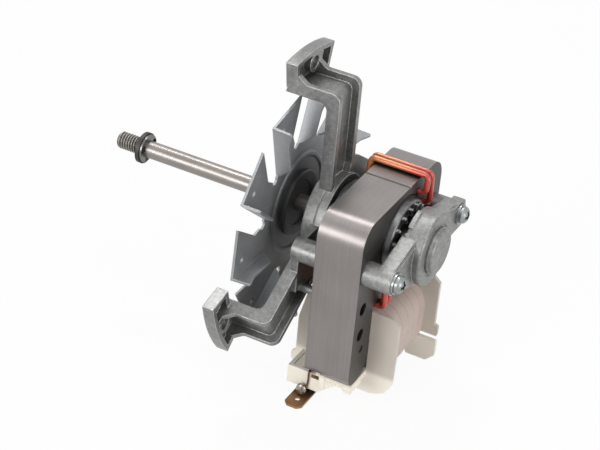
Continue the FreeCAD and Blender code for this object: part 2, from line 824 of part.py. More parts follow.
def carrier(side):
    """Pocket block that grips one terminal at its front, with a shelf behind it, below the leg."""
    inner = side * flange_inner_x
    outer = side * carrier_reach
    wall = carrier_wall
    middle = (carrier_rear + carrier_front) / 2.0
    top = carrier_top - carrier_step
    deep = block(inner, outer, middle, carrier_front, carrier_floor, top)
    shelf_low = carrier_top - carrier_shelf_thk
    shelf = block(inner, outer, carrier_rear, middle, shelf_low, carrier_top)
    gusset = prism_x([(middle, carrier_floor + 0.4, 0), (middle, shelf_low, 0),
                      (middle - carrier_gusset, shelf_low, 0)], min(inner, outer), max(inner, outer))
    rim = block(side * flange_outer_x, outer, middle, middle + wall, top, carrier_top)
    pocket = block(side * (flange_outer_x + wall), side * (carrier_reach - wall), middle + wall,
                   carrier_front - wall, carrier_floor + wall, top)
    return joined([deep, shelf, gusset, rim]).cut([pocket, terminal_slot(side)])


def terminal_slot(side):
    """Slit through the carrier's floor for the terminal's upright strip."""
    x0 = side * (carrier_reach - carrier_wall - terminal_inset)
    half = tab_strip_width / 2.0
    return block(x0, x0 - side * tab_thk, tab_centre_y - half, tab_centre_y + half,
                 carrier_floor, carrier_floor + strip_engagement)


def spade_terminal(side):
    """Bent blade: an upright strip in the carrier and a flat tab that points outwards."""
    strip_x = side * (carrier_reach - carrier_wall - terminal_inset)
    inner_x = strip_x - side * tab_thk
    narrow = tab_strip_width / 2.0
    strip = block(strip_x, inner_x, tab_centre_y - narrow, tab_centre_y + narrow,
                  tab_z, carrier_floor + strip_engagement)
    half = tab_width / 2.0
    tip = side * tab_reach
    tab = prism_z([
        (inner_x, tab_centre_y - half, 0), (inner_x, tab_centre_y + half, 0),
        (tip - side * 1.4, tab_centre_y + half, 0), (tip, tab_centre_y + half - 1.4, 0),
        (tip, tab_centre_y - half + 1.4, 0), (tip - side * 1.4, tab_centre_y - half, 0),
    ], tab_z - tab_thk, tab_z)
    hole_at = V(tip - side * tab_hole_inset, tab_centre_y, tab_z - 2.0)
    hole = Part.makeCylinder(tab_hole_dia / 2.0, 4.0, hole_at, V(0, 0, 1))
    return joined([strip, tab]).cut(hole)


def lead_wire(side):
    """Coil end across the carrier's pocket, from its wall to the terminal's strip."""
    near = flange_outer_x + carrier_wall
    far = carrier_reach - carrier_wall - terminal_inset - tab_thk
    low = min(side * near, side * far)
    return Part.makeCylinder(lead_dia / 2.0, far - near, V(low, tab_centre_y, lead_z), V(1, 0, 0))


def solder_joint(side):
    """Bead of solder on the terminal's upright strip, round the coil end."""
    x0 = side * (carrier_reach - carrier_wall - terminal_inset)
    bead = Part.makeSphere(solder_r, V(x0, tab_centre_y + solder_offset, tab_z + solder_r - 0.1))
    reach = 2.0 * solder_r
    return bead.common(block(x0, x0 + side * reach, tab_centre_y - reach, tab_centre_y + 2.0 * reach,
                             tab_z, tab_z + reach))


# Fasteners

def through_screw(x):
    """Pan head screw with a cross recess, from the rear bracket into the front post."""
    seat = rear_post_end - washer_thk
    head_end = seat - screw_head_height
    shank = rod(screw_r, seat, post_front - 1.5 * post_floor, x)
    head_r = screw_head_dia / 2.0
    head = turned([(0, seat), (head_r, seat), (head_r, seat - 0.9), (head_r - 0.35, seat - 1.6),
                   (head_r - 1.0, head_end + 0.25), (head_r - 1.7, head_end), (0, head_end)])
    head.translate(V(x, 0, 0))
    arm = head_r * 0.62
    half = cross_width / 2.0
    cross = [block(x - arm, x + arm, head_end, head_end + cross_depth, -half, half),
             block(x - half, x + half, head_end, head_end + cross_depth, -arm, arm)]
    return shank.fuse(head).cut(cross).removeSplitter()


def screw_washer(x):
    """Plain washer under a screw head."""
    return tube(washer_dia / 2.0, screw_r + 0.2, rear_post_end - washer_thk, rear_post_end, x)


# Write every piece

os.makedirs("parts", exist_ok=True)

save(stator_core(), "stator_core")
save(coil_core(), "coil_core")
save(bobbin(), "bobbin")
save(coil_winding(), "coil_winding")
save(coil_tape(), "coil_tape")
upper_rings = shading_rings()
save(Part.makeCompound(upper_rings), "shading_rings_upper")
save(Part.makeCompound([swing(ring, 180.0) for ring in upper_rings]), "shading_rings_lower")
save(front_bracket(), "front_bracket")
save(rear_bracket(), "rear_bracket")
save(bush(front_bush_y), "front_bearing")
save(bush(rear_bush_y), "rear_bearing")
sides = ((front_bush_y, -1.0), (rear_bush_y, 1.0))
save(Part.makeCompound([retainer(y, side) for y, side in sides]), "bearing_retainers")
save(Part.makeCompound([oil_felt(y, side) for y, side in sides]), "oil_felts")
save(Part.makeCompound([through_screw(-screw_x), through_screw(screw_x)]), "through_screws")
save(Part.makeCompound([screw_washer(-screw_x), screw_washer(screw_x)]), "screw_washers")
save(spade_terminal(-1.0), "left_spade_terminal")
save(spade_terminal(1.0), "right_spade_terminal")
save(lead_wire(-1.0), "left_lead_wire")
save(lead_wire(1.0), "right_lead_wire")
save(Part.makeCompound([solder_joint(-1.0), solder_joint(1.0)]), "solder_joints")

rear_thrust = rear_bush_y + bush_half_len + end_play
front_thrust = front_bush_y - bush_half_len - end_play
save(shaft(), "shaft")
save(rotor_core(), "rotor_core")
save(rotor_cage(), "rotor_cage")
save(spacer(rear_thrust + thrust_washer_thk, stack_rear), "rear_spacer")
save(spacer(stack_front, front_thrust - thrust_washer_thk), "front_spacer")
save(Part.makeCompound([
    tube(thrust_washer_dia / 2.0, shaft_r, rear_thrust, rear_thrust + thrust_washer_thk),
    tube(thrust_washer_dia / 2.0, shaft_r, front_thrust - thrust_washer_thk, front_thrust),
]), "thrust_washers")
save(fan_hub(), "fan_hub")
save(cooling_fan(), "cooling_fan")
save(Part.makeCompound([retaining_clip(y) for y in (seat_clip_rear, fan_hub_boss_front)]), "retaining_clips")
save(tube(seat_washer_dia / 2.0, shaft_r, seat_washer_rear, seat_washer_rear + seat_washer_thk), "seat_washer")
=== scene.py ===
"""Looks of a shaded-pole oven fan motor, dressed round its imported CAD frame.

Sizes are in metres in the frame's own axes, unless a comment says millimetres. The origin lies
on the shaft in the plane of the mounting feet, +Y runs to the threaded end and the coil hangs
below the shaft.
"""

import json
import logging
import math
from dataclasses import dataclass, field
from enum import Enum
from typing import Any, Callable, Mapping, Sequence

import bmesh
import bpy
import numpy as np
from mathutils import Matrix, Vector

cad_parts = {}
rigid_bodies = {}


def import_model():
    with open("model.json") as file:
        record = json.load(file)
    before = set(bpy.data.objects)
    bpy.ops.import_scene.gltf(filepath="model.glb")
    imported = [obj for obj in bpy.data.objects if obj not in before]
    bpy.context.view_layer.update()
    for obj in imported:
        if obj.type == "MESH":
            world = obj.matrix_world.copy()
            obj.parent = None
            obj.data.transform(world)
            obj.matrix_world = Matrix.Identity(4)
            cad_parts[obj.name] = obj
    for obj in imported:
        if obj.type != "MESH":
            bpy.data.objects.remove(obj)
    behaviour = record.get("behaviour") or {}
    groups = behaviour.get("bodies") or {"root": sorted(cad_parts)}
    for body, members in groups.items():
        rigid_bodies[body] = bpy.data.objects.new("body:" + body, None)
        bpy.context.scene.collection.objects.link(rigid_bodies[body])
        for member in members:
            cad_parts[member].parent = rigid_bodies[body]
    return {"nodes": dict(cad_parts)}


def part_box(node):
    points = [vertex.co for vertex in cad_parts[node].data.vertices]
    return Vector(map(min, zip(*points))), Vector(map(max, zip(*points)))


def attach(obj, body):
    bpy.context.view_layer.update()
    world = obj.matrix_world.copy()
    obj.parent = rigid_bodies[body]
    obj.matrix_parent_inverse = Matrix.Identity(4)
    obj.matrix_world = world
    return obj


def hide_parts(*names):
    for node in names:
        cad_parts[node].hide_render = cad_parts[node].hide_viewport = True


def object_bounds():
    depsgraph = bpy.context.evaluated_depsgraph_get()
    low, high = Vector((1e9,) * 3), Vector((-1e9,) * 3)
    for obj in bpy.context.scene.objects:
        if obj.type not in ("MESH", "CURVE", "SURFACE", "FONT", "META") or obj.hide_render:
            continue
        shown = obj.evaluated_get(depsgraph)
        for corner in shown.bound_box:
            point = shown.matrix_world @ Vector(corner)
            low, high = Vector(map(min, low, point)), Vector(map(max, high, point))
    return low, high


for leftover in list(bpy.data.objects):
    bpy.data.objects.remove(leftover)
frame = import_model()
CAD_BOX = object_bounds()

MM = 0.001
SHARP_ANGLE = math.radians(50.0)
LOG = logging.getLogger("motor")

Triple = tuple[float, float, float]
Colour = Triple
WHITE: Colour = (1.0, 1.0, 1.0)
Faces = list[list[int]]
Shape = tuple[np.ndarray, Faces]


class Body(Enum):
    """Bodies that the pieces ride on."""

    FRAME = "motor_frame"
    ROTOR = "rotor"


class Axis(Enum):
    """Directions that a pattern can run along."""

    X = 0
    Y = 1
    Z = 2


def srgb(*levels: int) -> Colour:
    """Linear colour (level / 255) ** 2.2 of red, green and blue levels from 0 to 255."""
    return tuple((level / 255.0) ** 2.2 for level in levels)


# Shader graphs


def joined(operation: str, swapped: bool = False) -> Callable[["Signal", Any], "Signal"]:
    """Operator between a signal and another term.

    Args:
        operation: Operation of its Math node.
        swapped: Whether the other term comes first.

    Returns:
        The signal's method for it.
    """
    def method(self: "Signal", other: Any) -> "Signal":
        """Signal of the operation on both terms."""
        return self.math(operation, *((other, self) if swapped else (self, other)))
    return method


class Signal:
    """A number that varies over a surface and takes part in ordinary sums."""

    __add__, __radd__ = joined("ADD"), joined("ADD", swapped=True)
    __sub__, __rsub__ = joined("SUBTRACT"), joined("SUBTRACT", swapped=True)
    __mul__, __rmul__ = joined("MULTIPLY"), joined("MULTIPLY", swapped=True)
    __truediv__, __pow__ = joined("DIVIDE"), joined("POWER")

    def __init__(self, graph: "Graph", socket: bpy.types.NodeSocket) -> None:
        """Wrap an output socket of a graph's node."""
        self.graph = graph
        self.socket = socket

    def math(self, operation: str, *terms: Any) -> "Signal":
        """Signal of a Math node on these terms, in their order."""
        return self.graph.make("ShaderNodeMath", {"operation": operation}, dict(enumerate(terms)))

    def __abs__(self) -> "Signal":
        """Size of this, without its sign."""
        return self.math("ABSOLUTE", self)

    def fraction(self) -> "Signal":
        """Part of this above the whole number below it."""
        return self.math("FRACT", self)

    def sine(self) -> "Signal":
        """Sine of this, in radians."""
        return self.math("SINE", self)

    def part(self, axis: Axis) -> "Signal":
        """Component of this place or direction along one axis."""
        return self.graph.make("ShaderNodeSeparateXYZ", sockets={0: self}, output=axis.value)

    def ramp(self, low: float, high: float) -> "Signal":
        """Smooth step of this from 0 at low to 1 at high."""
        settings = {"interpolation_type": "SMOOTHSTEP"}
        return self.graph.make("ShaderNodeMapRange", settings, {0: self, 1: low, 2: high})


class Graph:
    """Node graph built from signals."""

    def __init__(self, holder: bpy.types.Material | bpy.types.World) -> None:
        """Start an empty graph in a material or a world."""
        holder.use_nodes = True
        self.tree = holder.node_tree
        self.tree.nodes.clear()

    def make(self, kind: str, settings: Mapping[str, Any] | None = None,
             sockets: Mapping[Any, Any] | None = None, output: Any = 0) -> Signal:
        """Add one node.

        Args:
            kind: Blender's type name of the node.
            settings: Properties to set first.
            sockets: Value or signal of each input, by name or number.
            output: Name or number of the output that is wanted.

        Returns:
            The signal of that output.
        """
        node = self.tree.nodes.new(kind)
        for name, value in (settings or {}).items():
            setattr(node, name, value)
        for name, value in (sockets or {}).items():
            target = node.inputs[name]
            if isinstance(value, Signal):
                self.tree.links.new(value.socket, target)
            elif isinstance(value, tuple) and target.type == "RGBA":
                target.default_value = (*value, 1.0)
            else:
                target.default_value = value
        return Signal(self, node.outputs[output] if node.outputs else None)

    def mix(self, share: Any, first: Any, second: Any, blend: str = "MIX") -> Signal:
        """Colour of a colour and this share of a second, blended over it."""
        settings = {"data_type": "RGBA", "blend_type": blend}
        return self.make("ShaderNodeMix", settings, {0: share, 6: first, 7: second}, 2)

    def seen_rays(self) -> Signal:
        """1 for rays from the camera, straight or by a shiny or clear surface, otherwise 0."""
        kinds = ("Is Camera Ray", "Is Glossy Ray", "Is Transmission Ray")
        camera, glossy, clear = (self.make("ShaderNodeLightPath", output=kind) for kind in kinds)
        return (camera + glossy + clear).ramp(0.0, 1.0)


class Paint(Graph):
    """Node graph of one material, with its shader at the end."""

    def __init__(self, name: str) -> None:
        """Start an empty material of this name."""
        self.material = bpy.data.materials.new(name)
        super().__init__(self.material)
        self._places: Signal | None = None

    def places(self) -> Signal:
        """Place on the piece in millimetres, from its Object coordinates."""
        if self._places is None:
            metres = self.make("ShaderNodeTexCoord", output="Object")
            self._places = self.make("ShaderNodeVectorMath", {"operation": "SCALE"},
                                     {0: metres, "Scale": 1.0 / MM})
        return self._places

    def along(self, axis: Axis) -> Signal:
        """Distance along one axis, in millimetres."""
        return self.places().part(axis)

    def facing(self, axis: Axis) -> Signal:
        """How squarely the surface faces along one axis, from 0 to 1."""
        return abs(self.make("ShaderNodeNewGeometry", output="Normal").part(axis))

    def noise(self, size: float, detail: float = 3.0,
              stretch: Triple = (1.0, 1.0, 1.0)) -> Signal:
        """Cloudy pattern.

        Args:
            size: Size of its clouds, in millimetres.
            detail: How many finer layers it has.
            stretch: How many times longer the clouds are along each axis.

        Returns:
            Values about one half.
        """
        scale = tuple(1.0 / (size * times) for times in stretch)
        spot = self.make("ShaderNodeVectorMath", {"operation": "MULTIPLY"},
                         {0: self.places(), 1: scale})
        sockets = {"Vector": spot, "Scale": 1.0, "Detail": detail}
        return self.make("ShaderNodeTexNoise", sockets=sockets)

    def shade(self, colour: Any, level: Any) -> Signal:
        """A colour made lighter or darker by a level about 1."""
        grey = self.make("ShaderNodeCombineColor", sockets={0: level, 1: level, 2: level})
        return self.mix(1.0, colour, grey, "MULTIPLY")

    def rounded(self, radius: float) -> Signal:
        """Normal that looks as if the edges had this radius, in millimetres."""
        return self.make("ShaderNodeBevel", {"samples": 6}, {"Radius": radius * MM})

    def worn_edges(self, radius: float) -> Signal:
        """Share of wear on edges, 0 on open faces and towards 1 on an edge."""
        true_normal = self.make("ShaderNodeNewGeometry", output="Normal")
        agreement = self.make("ShaderNodeVectorMath", {"operation": "DOT_PRODUCT"},
                              {0: self.rounded(radius), 1: true_normal}, "Value")
        return (1.0 - agreement).ramp(0.01, 0.2)

    def openness(self, reach: float) -> Signal:
        """Share of what lies within a reach in millimetres that is open, low in a hollow."""
        sockets = {"Distance": reach * MM}
        return self.make("ShaderNodeAmbientOcclusion", {"samples": 8}, sockets, "AO")

    def bump(self, height: Signal, depth: float, normal: Signal | None = None) -> Signal:
        """Normal pushed in and out by a height from 0 to 1 times a depth in millimetres."""
        sockets = {"Height": height, "Distance": depth * MM, "Strength": 1.0}
        if normal is not None:
            sockets["Normal"] = normal
        return self.make("ShaderNodeBump", sockets=sockets)

    def finish(self, **sockets: Any) -> bpy.types.Material:
        """Close the graph with its shader.

        Args:
            **sockets: Its inputs, with an underscore for each space.

        Returns:
            The finished material.
        """
        named = {name.replace("_", " "): value for name, value in sockets.items()}
        shader = self.make("ShaderNodeBsdfPrincipled", sockets=named)
        self.make("ShaderNodeOutputMaterial", sockets={"Surface": shader})
        return self.material


# Finishes


class Finish:
    """Looks that a material of any name can take."""

    def build(self, name: str) -> bpy.types.Material:
        """Material of this finish."""
        graph = Paint(name)
        return graph.finish(**self.sockets(graph))

    def sockets(self, graph: Paint) -> dict[str, Any]:
        """Inputs of the shader.

        Args:
            graph: Graph in which their signals are made.

        Returns:
            The inputs by name, with an underscore for each space.
        """
        raise NotImplementedError


@dataclass(frozen=True)
class CastMetal(Finish):
    """Die-cast metal: cloudy skin, fine grain, edges rubbed bright, and painted shade in hollows.
    """

    colour: Colour
    edge: Colour
    roughness: float = 0.38
    metallic: float = 0.7
    edge_radius: float = 0.45
    cloud: float = 5.0
    grain_depth: float = 0.02
    hollow_shade_depth: float = 0.3

    def sockets(self, graph: Paint) -> dict[str, Any]:
        """Clouded, grained skin, with painted shade in hollows and edges rubbed bright."""
        clouds = graph.noise(self.cloud, 4.0)
        mottle = graph.noise(1.5, 3.0)
        grain = graph.noise(0.5, 3.0)
        wear = graph.worn_edges(self.edge_radius) * (0.5 + 0.5 * grain.ramp(0.3, 0.6))
        # Painted shade: the skin darkens where other surfaces lie within 4 mm.
        hollow = 1.0 - self.hollow_shade_depth * (1.0 - graph.openness(4.0))
        speckle = 0.76 + 0.28 * mottle.ramp(0.3, 0.7) + 0.22 * grain.ramp(0.32, 0.68)
        skin = graph.shade(self.colour, (0.64 + 0.72 * clouds) * speckle * hollow)
        return dict(
            Base_Color=graph.mix(wear * 0.85, skin, self.edge),
            Metallic=self.metallic,
            Roughness=self.roughness - 0.12 + 0.2 * clouds + 0.06 * grain,
            Normal=graph.bump(grain + mottle + 2.0 * clouds, self.grain_depth,
                              graph.rounded(self.edge_radius)),
        )


@dataclass(frozen=True)
class Laminations(Finish):
    """Stack of punched sheets: fine lines where the edges show, painted shade in grooves and
    hollows on the sides, plain oxide on the end faces.
    """

    edge: Colour
    face: Colour
    sheet: float = 0.5
    roughness: float = 0.3
    line_depth: float = 0.012

    def sockets(self, graph: Paint) -> dict[str, Any]:
        """Lines along the sheets' edges, painted shade in grooves and hollows, stains on the end
        faces.
        """
        phase = (graph.along(Axis.Y) / self.sheet).fraction()
        seam = (abs(phase - 0.5) * 2.0) ** 6.0
        tone = graph.noise(0.4, 2.0, (60.0, 1.0, 60.0))
        stain = graph.noise(9.0, 3.0)
        end = graph.facing(Axis.Y).ramp(0.7, 0.95)
        # Painted shade: the sides darken in narrow grooves and where other parts lie within 6 mm.
        groove = (1.0 - 0.85 * (1.0 - graph.openness(1.5))) * graph.openness(6.0) ** 1.3
        level = 0.76 + 0.3 * tone + 0.24 * stain - 0.06 * seam
        side_tone = graph.shade(self.edge, level * groove)
        end_tone = graph.shade(self.face, 0.62 + 0.6 * stain + 0.16 * graph.noise(0.6, 2.0))
        lines = (1.0 - seam) * (1.0 - end)
        return dict(
            Base_Color=graph.mix(end, side_tone, end_tone),
            Metallic=0.85,
            Roughness=self.roughness + 0.12 * tone + 0.12 * end,
            Normal=graph.bump(lines + 0.4 * tone, self.line_depth, graph.rounded(0.2)),
        )


@dataclass(frozen=True)
class TurnedMetal(Finish):
    """Turned, ground or plated metal with faint rings round the shaft's direction."""

    colour: Colour
    roughness: float = 0.24
    metallic: float = 1.0
    ring: float = 0.22
    ring_depth: float = 0.002
    edge_radius: float = 0.12

    def sockets(self, graph: Paint) -> dict[str, Any]:
        """Rings and haze in colour and shine."""
        rings = graph.noise(self.ring, 2.0, (25.0, 1.0, 25.0))
        haze = graph.noise(4.0, 3.0)
        return dict(
            Base_Color=graph.shade(self.colour, 0.82 + 0.2 * rings + 0.16 * haze),
            Metallic=self.metallic,
            Roughness=self.roughness - 0.05 + 0.1 * haze + 0.06 * rings,
            Normal=graph.bump(rings, self.ring_depth, graph.rounded(self.edge_radius)),
        )


@dataclass(frozen=True)
class GroundShaft(Finish):
    """Ground bar, plain along its shank, with a tone of its own along its thread and painted shade
    in the thread's roots.
    """

    colour: Colour
    thread: Colour
    thread_from: float

    def sockets(self, graph: Paint) -> dict[str, Any]:
        """Streaks along the bar, and painted shade in the roots of the thread."""
        on_thread = graph.along(Axis.Y).ramp(self.thread_from - 0.3, self.thread_from + 0.3)
        streak = graph.noise(0.5, 2.0, (1.0, 40.0, 1.0))
        haze = graph.noise(5.0, 3.0)
        # Painted shade: along the thread, the colour darkens in the roots where the flanks close
        # in.
        root = 1.0 - on_thread * (1.0 - graph.openness(0.8) ** 2.0)
        level = (0.72 + 0.3 * streak + 0.26 * haze) * root
        return dict(
            Base_Color=graph.shade(graph.mix(on_thread, self.colour, self.thread), level),
            Metallic=0.9,
            Roughness=0.3 + 0.08 * on_thread + 0.1 * haze,
            Normal=graph.bump(streak, 0.002),
        )


@dataclass(frozen=True)
class RolledSheet(Finish):
    """Pressed steel sheet, with painted shade towards its middle, scuffs and bright sheared edges.
    """

    colour: Colour
    edge: Colour
    hub_shade_within: float
    hub_shade_until: float
    roughness: float = 0.42
    metallic: float = 0.7

    def sockets(self, graph: Paint) -> dict[str, Any]:
        """Clouded, scuffed skin, with painted shade near the shaft."""
        clouds = graph.noise(9.0, 4.0)
        scuffs = graph.noise(0.5, 3.0, (8.0, 1.0, 1.0)).ramp(0.55, 0.75)
        wear = graph.worn_edges(0.3)
        radius = (graph.along(Axis.X) ** 2.0 + graph.along(Axis.Z) ** 2.0) ** 0.5
        # Painted shade: the sheet darkens towards the shaft, fully within the first radius and not
        # at all beyond the second.
        outside_hub_shade = (radius + 5.0 * (clouds - 0.5)).ramp(self.hub_shade_within, self.hub_shade_until)
        level = (0.66 + 0.6 * clouds + 0.2 * scuffs) * (0.42 + 0.58 * outside_hub_shade)
        skin = graph.shade(self.colour, level)
        return dict(
            Base_Color=graph.mix(wear * 0.8, skin, self.edge),
            Metallic=self.metallic,
            Roughness=self.roughness - 0.1 + 0.2 * clouds - 0.05 * scuffs,
            Normal=graph.bump(clouds + 0.3 * scuffs, 0.04, graph.rounded(0.25)),
        )


@dataclass(frozen=True)
class Lacquer(Finish):
    """Copper under coloured lacquer, whose tone runs from clear orange at the front to deep red
    towards the rear.
    """

    front_tone: Colour
    rear_tone: Colour
    run_centre: float
    run_length: float

    def sockets(self, graph: Paint) -> dict[str, Any]:
        """Tone that shifts along the loop, with painted shade in creases."""
        drift = (graph.along(Axis.Y) - self.run_centre) / self.run_length
        rearward_share = (0.5 - drift + 0.5 * (graph.noise(3.0, 2.0) - 0.5)).ramp(0.1, 0.95)
        # Painted shade: the wire darkens where the loops lie close together.
        painted_crease_shade = graph.openness(1.0) ** 1.5
        level = (0.85 + 0.3 * graph.noise(1.2)) * painted_crease_shade
        return dict(
            Base_Color=graph.shade(graph.mix(rearward_share, self.front_tone, self.rear_tone), level),
            Metallic=0.35,
            Roughness=0.3 + 0.16 * graph.noise(1.5),
            Coat_Weight=0.4 + 0.3 * rearward_share,
            Coat_Roughness=0.08,
            Normal=graph.bump(graph.noise(1.0, 2.0, (1.0, 4.0, 1.0)), 0.05),
        )


@dataclass(frozen=True)
class Moulding(Finish):
    """Moulded plastic whose tone changes with height, with soft edges and a fine mould texture."""

    upper: Colour
    lower: Colour
    change_from: float
    change_to: float
    roughness: float = 0.42

    def sockets(self, graph: Paint) -> dict[str, Any]:
        """Tone by height, with clouds and mould texture."""
        share = graph.along(Axis.Z).ramp(self.change_from, self.change_to)
        clouds = graph.noise(8.0, 3.0)
        texture = graph.noise(0.35, 2.0)
        colour = graph.mix(share, self.lower, self.upper)
        return dict(
            Base_Color=graph.shade(colour, 0.9 + 0.14 * clouds + 0.06 * texture),
            Roughness=self.roughness - 0.08 + 0.14 * clouds + 0.04 * texture,
            Subsurface_Weight=0.12,
            Subsurface_Scale=0.4 * MM,
            Normal=graph.bump(texture + clouds, 0.02, graph.rounded(0.3)),
        )


@dataclass(frozen=True)
class TapeCloth(Finish):
    """Insulating tape: warm beige cloth whose lapped edges lie a shade darker."""

    colour: Colour
    edge: Colour
    turn: float
    thread: float = 0.35

    def sockets(self, graph: Paint) -> dict[str, Any]:
        """Laps and weave, placed by the map named wrap."""
        uv = graph.make("ShaderNodeUVMap", {"uv_map": "wrap"})
        lap = uv.part(Axis.X).fraction()
        seam = 1.0 - lap.ramp(0.0, 0.1) * (1.0 - lap.ramp(0.93, 1.0))
        around = uv.part(Axis.Y)
        turn = 2.0 * math.pi / self.thread
        weave = (around * turn).sine() * (lap * (self.turn * turn)).sine()
        clouds = graph.noise(5.0, 3.0)
        cloth = graph.shade(self.colour, 0.84 + 0.24 * clouds + 0.05 * weave)
        return dict(
            Base_Color=graph.mix(seam * 0.75, cloth, self.edge),
            Roughness=0.5 + 0.16 * clouds,
            Normal=graph.bump(0.5 + 0.5 * weave + clouds, 0.03),
        )


@dataclass(frozen=True)
class WoundWire(Finish):
    """Enamelled copper turns laid side by side."""

    colour: Colour
    pitch: float = 0.35

    def sockets(self, graph: Paint) -> dict[str, Any]:
        """One ridge for each turn, with painted shade in the troughs between turns."""
        ridge = (graph.along(Axis.X) * (2.0 * math.pi / self.pitch)).sine() * 0.5 + 0.5
        # Painted shade: the colour darkens in the troughs between turns.
        return dict(
            Base_Color=graph.shade(self.colour, 0.55 + 0.5 * ridge),
            Metallic=0.9,
            Roughness=0.3 + 0.1 * graph.noise(2.0),
            Normal=graph.bump(ridge, 0.12),
        )


@dataclass(frozen=True)
class Fibre(Finish):
    """Pressed felt."""

    colour: Colour

    def sockets(self, graph: Paint) -> dict[str, Any]:
        """Hairs in tone and relief."""
        hair = graph.noise(0.25, 4.0, (1.0, 3.0, 1.0))
        return dict(
            Base_Color=graph.shade(self.colour, 0.6 + 0.8 * hair),
            Roughness=0.95 - 0.1 * hair,
            Normal=graph.bump(hair, 0.15),
        )


@dataclass(frozen=True)
class TinAlloy(Finish):
    """Solder: bright where it flowed, dull and browned by flux elsewhere."""

    colour: Colour
    flux: Colour

    def sockets(self, graph: Paint) -> dict[str, Any]:
        """Bright metal with dull patches of flux."""
        flux = graph.noise(0.9, 3.0).ramp(0.5, 0.68)
        return dict(
            Base_Color=graph.mix(flux, self.colour, self.flux),
            Metallic=1.0 - 0.7 * flux,
            Roughness=0.22 + 0.3 * flux,
            Normal=graph.bump(graph.noise(0.5), 0.06),
        )


@dataclass(frozen=True)
class FormedBrass(Finish):
    """Bent brass strip, tarnished darker towards its root."""

    colour: Colour
    tarnish: Colour
    root: float
    tip: float

    def sockets(self, graph: Paint) -> dict[str, Any]:
        """Tarnish that fades towards the tip, with scratches."""
        reach = abs(graph.along(Axis.X))
        stain = 1.0 - (reach + 4.0 * (graph.noise(2.0) - 0.5)).ramp(self.root, self.tip)
        scratch = graph.noise(0.25, 3.0, (20.0, 1.0, 1.0))
        strip = graph.mix(stain, self.colour, self.tarnish)
        return dict(
            Base_Color=graph.shade(strip, 0.8 + 0.4 * scratch),
            Metallic=0.9,
            Roughness=0.3 + 0.2 * stain + 0.1 * scratch,
            Normal=graph.bump(scratch, 0.01, graph.rounded(0.15)),
        )


FINISHES: dict[str, Finish] = {
    "frame_laminations": Laminations(srgb(135, 130, 128), srgb(88, 86, 84)),
    "rotor_laminations": Laminations(srgb(106, 104, 102), srgb(60, 60, 60)),
    # The cage's fins take strong painted shade in their hollows.
    "cage_casting": CastMetal(srgb(112, 112, 113), srgb(206, 206, 204), roughness=0.34,
                              edge_radius=0.7, hollow_shade_depth=0.9),
    "bobbin_moulding": Moulding(srgb(202, 194, 183), srgb(245, 238, 225), change_from=-45.0,
                                change_to=-42.5),
    "copper_winding": WoundWire(srgb(190, 104, 60)),
    "coil_tape": TapeCloth(srgb(200, 182, 172), srgb(112, 84, 78), turn=4.5),
    "lacquered_copper": Lacquer(srgb(206, 128, 82), srgb(182, 62, 50), run_centre=-35.0,
                                run_length=22.0),
    "front_casting": CastMetal(srgb(130, 130, 129), srgb(216, 216, 215)),
    "rear_casting": CastMetal(srgb(136, 136, 134), srgb(210, 210, 209), roughness=0.46,
                              cloud=9.0),
    "sintered_bronze": TurnedMetal(srgb(150, 112, 72), roughness=0.45, ring=0.6),
    "spring_steel": TurnedMetal(srgb(120, 120, 121), roughness=0.3),
    "felt": Fibre(srgb(196, 186, 160)),
    "bright_zinc": TurnedMetal(srgb(150, 153, 153), roughness=0.3, ring=0.5),
    "terminal_brass": FormedBrass(srgb(148, 114, 82), srgb(84, 62, 44), root=24.0, tip=30.0),
    "solder": TinAlloy(srgb(150, 148, 142), srgb(92, 70, 48)),
    "ground_steel": GroundShaft(srgb(142, 137, 133), srgb(168, 163, 158), thread_from=56.0),
    "spacer_steel": TurnedMetal(srgb(120, 118, 116), roughness=0.3),
    "black_moulding": Moulding(srgb(58, 58, 59), srgb(58, 58, 59), change_from=-60.0,
                               change_to=-50.0, roughness=0.5),
    # The fan sheet takes painted shade within 12 mm of the shaft, fading out by 24 mm.
    "fan_sheet": RolledSheet(srgb(152, 154, 156), srgb(212, 213, 214), hub_shade_within=12.0,
                             hub_shade_until=24.0, roughness=0.52),
    "seat_steel": TurnedMetal(srgb(78, 75, 73), roughness=0.5),
}


class Wardrobe:
    """Builds each finish once and dresses pieces in it."""

    def __init__(self) -> None:
        """Start with nothing built."""
        self.built: dict[str, bpy.types.Material] = {}

    def material(self, slot: str) -> bpy.types.Material:
        """Material of one of the record's slots."""
        if slot not in self.built:
            self.built[slot] = FINISHES[slot].build("looks_" + slot)
        return self.built[slot]

    def dress(self, piece: bpy.types.Object, slot: str) -> None:
        """Give a new piece or a node of the frame the finish of one slot throughout."""
        if not piece.material_slots:
            piece.data.materials.append(self.material(slot))
        for holder in piece.material_slots:
            holder.material = self.material(slot)


# Meshes


def new_object(name: str, data: bpy.types.ID) -> bpy.types.Object:
    """Object with this data, linked to the scene."""
    holder = bpy.data.objects.new(name, data)
    bpy.context.scene.collection.objects.link(holder)
    return holder


def full_turn(count: int) -> np.ndarray:
    """This many angles, evenly spread over a full turn from 0."""
    return np.linspace(0.0, 2.0 * math.pi, count, endpoint=False)


def grid_faces(rows: int, columns: int, wrap_rows: bool) -> Faces:
    """Quads of a grid of points whose last column joins its first.

    Args:
        rows: Number of rows.
        columns: Number of columns.
        wrap_rows: Whether the last row joins the first too.

    Returns:
        Four indices per quad. Point (i, j) has the index i * columns + j, and a quad holds
        (i, j), (i, j + 1), (i + 1, j + 1) and (i + 1, j), counted round where a side wraps.
    """
    i = np.arange(rows if wrap_rows else rows - 1)[:, None]
    j = np.arange(columns)[None, :]
    below, beside = (i + 1) % rows * columns, (j + 1) % columns
    quads = [i * columns + j, i * columns + beside, below + beside, below + j]
    return np.stack(quads, axis=-1).reshape(-1, 4).tolist()


